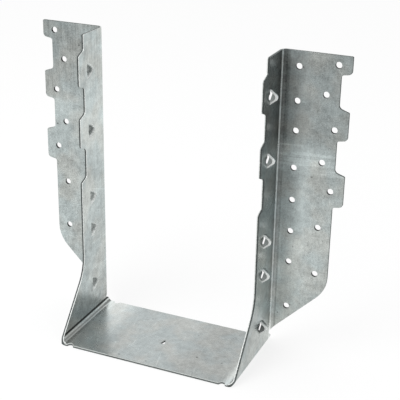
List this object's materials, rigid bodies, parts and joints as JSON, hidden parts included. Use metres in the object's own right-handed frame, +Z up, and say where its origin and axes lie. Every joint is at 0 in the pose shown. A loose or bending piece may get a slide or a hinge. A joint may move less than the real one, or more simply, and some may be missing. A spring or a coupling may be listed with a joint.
{
  "type": "joist hanger",
  "caption": "One-piece folded galvanised steel hanger with a seat and two legs for a joist's end, nail flanges for the header, and domes for slanted nails.",
  "frame": {"origin": "on the joist's centre line, in the plane of the header's face, at the top of the seat", "axes": "+Z up along the legs, +Y into the header, +X across the joist towards the right-hand leg"},
  "size_m": [0.2426, 0.0762, 0.2305],
  "materials": {
    "galvanised_sheet": "hot-dip galvanised with a soft mottled spangle"
  },
  "bodies": {
    "root": {"hanger": "galvanised_sheet"}
  },
  "joints": []
}
